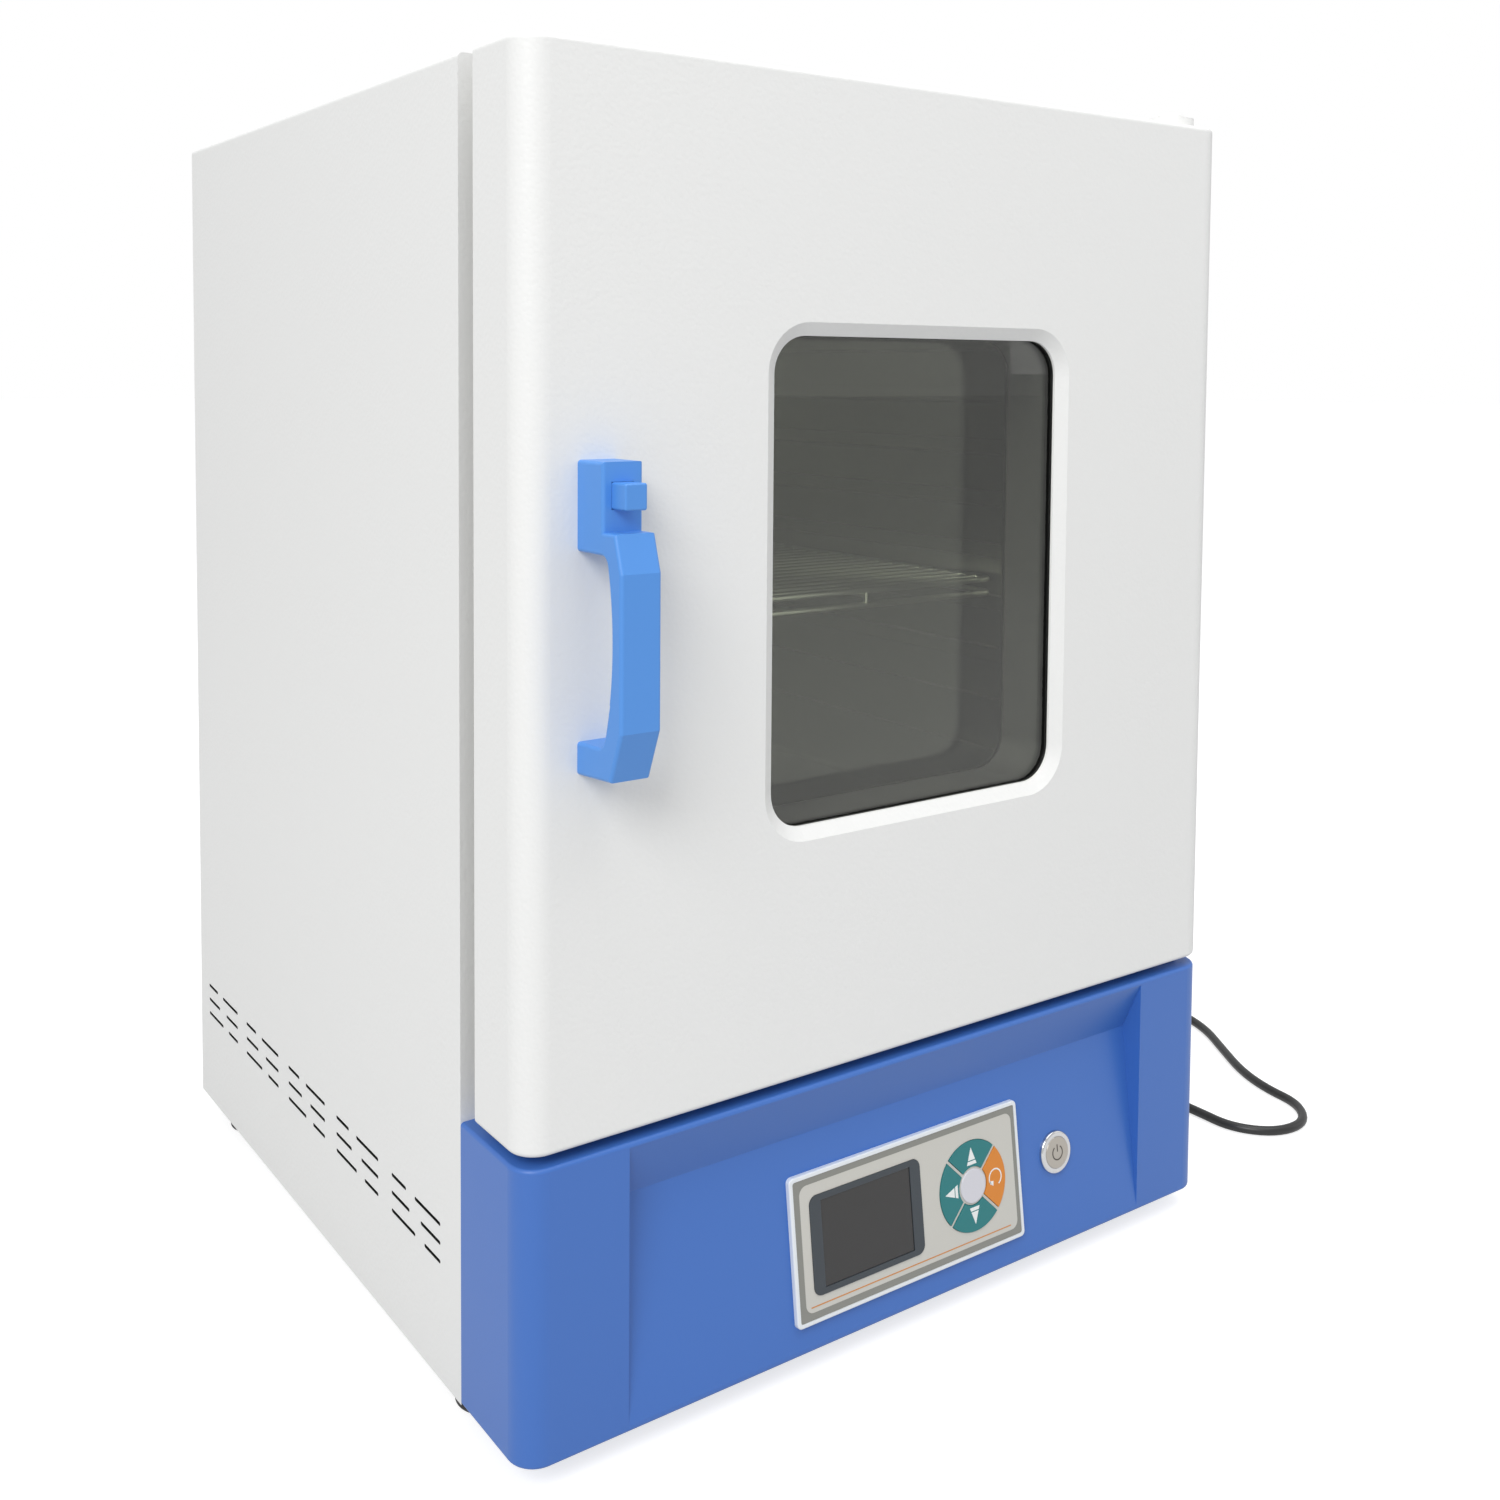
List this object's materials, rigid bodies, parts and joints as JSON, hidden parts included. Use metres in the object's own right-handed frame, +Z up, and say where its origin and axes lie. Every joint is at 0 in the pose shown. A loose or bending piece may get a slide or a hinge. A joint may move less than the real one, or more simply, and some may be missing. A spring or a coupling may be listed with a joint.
{
  "type": "laboratory incubator",
  "caption": "Bench laboratory incubator: white cabinet, hinged door with a double glazed window, light blue handle, wire shelf, and a blue control console under the door.",
  "frame": {"origin": "centre of the overall width and depth, cord left out, on the surface that the feet stand on", "axes": "+X to the right seen from the front, +Y to the back, +Z up"},
  "size_m": [0.7358, 0.6594, 0.7148],
  "materials": {
    "white_paint": "satin white powder coat",
    "zinc": "plain zinc-plated sheet",
    "stainless": "brushed stainless",
    "chrome_wire": "bright chrome",
    "blue_plastic": "fine satin blue",
    "light_blue_plastic": "fine satin light blue",
    "white_plastic": "smooth white",
    "panel_print": "printed membrane",
    "bezel_black": "smooth dark grey",
    "display": "dark display behind a clear front",
    "hub_grey": "silver grey",
    "teal_key": "smooth teal",
    "orange_key": "smooth orange",
    "glass": "clear",
    "black_rubber": "matt black",
    "silicone": "pale silicone",
    "steel": "plain steel",
    "brass_pins": "bright brass",
    "mineral_wool": "fibrous wool board",
    "board_green": "coated board",
    "aluminium": "plain"
  },
  "bodies": {
    "cabinet": {"outer_casing": "white_paint", "back_panel": "white_paint", "bottom_pan": "zinc", "foot_front_left": "black_rubber", "foot_rear_left": "black_rubber", "foot_front_right": "black_rubber", "foot_rear_right": "black_rubber", "front_frame": "white_paint", "inner_floor": "zinc", "chamber_liner": "stainless", "insulation": "mineral_wool", "duct_plate": "stainless", "fan_motor": "aluminium", "heater": "stainless", "temperature_probe": "stainless", "shelf_rack_left": "stainless", "shelf_rack_right": "stainless", "vent_tube": "white_paint", "hinge_brackets": "white_paint", "cabinet_screws": "steel", "strike_plate": "zinc", "console_cover": "blue_plastic", "panel_frame": "white_plastic", "panel_overlay": "panel_print", "display_bezel": "bezel_black", "display_screen": "display", "keypad_hub": "hub_grey", "control_board": "board_green", "power_housing": "stainless", "supply_board": "board_green", "relay_heat_sink": "aluminium", "strain_relief": "black_rubber", "power_cord": "black_rubber", "cord_coil": "black_rubber", "plug": "black_rubber", "plug_pins": "brass_pins"},
    "door": {"door_shell": "white_paint", "window_seal": "black_rubber", "outer_pane": "glass", "window_jamb": "white_paint", "inner_pane": "glass", "door_inner_panel": "stainless", "door_insulation": "mineral_wool", "door_gasket": "silicone", "latch_bracket": "zinc", "latch_spring": "steel", "handle": "light_blue_plastic", "handle_screws": "steel", "hinge_bushes": "steel"},
    "latch_button": {"latch_button": "light_blue_plastic"},
    "latch_hook": {"latch_hook": "steel"},
    "power_button": {"power_button": "stainless"},
    "key_up": {"key_up": "teal_key"},
    "key_left": {"key_left": "teal_key"},
    "key_down": {"key_down": "teal_key"},
    "key_set": {"key_set": "orange_key"},
    "shelf": {"wire_shelf": "chrome_wire"},
    "fan": {"fan_wheel": "aluminium", "fan_shaft": "steel"},
    "vent_cap": {"vent_cap": "white_plastic"}
  },
  "joints": [
    {"name": "door_swing", "type": "hinge", "parent": "cabinet", "child": "door", "pos_m": [0.228, -0.22255, 0.434], "axis": [0, 0, 1], "range_deg": [0, 180]},
    {"name": "latch_press", "type": "slide", "parent": "door", "child": "latch_button", "axis": [0, 1, 0], "range_m": [0, 0.006], "stiffness_N_per_m": 400},
    {"name": "latch_turn", "type": "hinge", "parent": "door", "child": "latch_hook", "pos_m": [-0.207, -0.22155, 0.46], "axis": [1, 0, 0], "range_deg": [-17, 0.1], "stiffness_Nm_per_rad": 0.1, "deforming": ["latch_spring"]},
    {"name": "power_press", "type": "slide", "parent": "cabinet", "child": "power_button", "axis": [0, 0.9922, -0.1249], "range_m": [0, 0.0015], "stiffness_N_per_m": 600},
    {"name": "key_up_press", "type": "slide", "parent": "cabinet", "child": "key_up", "axis": [0, 0.9922, -0.1249], "range_m": [0, 0.0005], "stiffness_N_per_m": 1200},
    {"name": "key_left_press", "type": "slide", "parent": "cabinet", "child": "key_left", "axis": [0, 0.9922, -0.1249], "range_m": [0, 0.0005], "stiffness_N_per_m": 1200},
    {"name": "key_down_press", "type": "slide", "parent": "cabinet", "child": "key_down", "axis": [0, 0.9922, -0.1249], "range_m": [0, 0.0005], "stiffness_N_per_m": 1200},
    {"name": "key_set_press", "type": "slide", "parent": "cabinet", "child": "key_set", "axis": [0, 0.9922, -0.1249], "range_m": [0, 0.0005], "stiffness_N_per_m": 1200},
    {"name": "shelf_slide", "type": "slide", "parent": "cabinet", "child": "shelf", "axis": [0, -1, 0], "range_m": [0, 0.06]},
    {"name": "fan_spin", "type": "hinge", "parent": "cabinet", "child": "fan", "pos_m": [0, 0.16845, 0.4315], "axis": [0, 1, 0], "continuous": true},
    {"name": "vent_turn", "type": "hinge", "parent": "cabinet", "child": "vent_cap", "pos_m": [0, 0.07885, 0.704], "axis": [0, 0, 1], "range_deg": [0, 90]}
  ],
  "couplings": [
    {"joint": "latch_turn", "follows": "latch_press", "rad_per_m": -48}
  ]
}
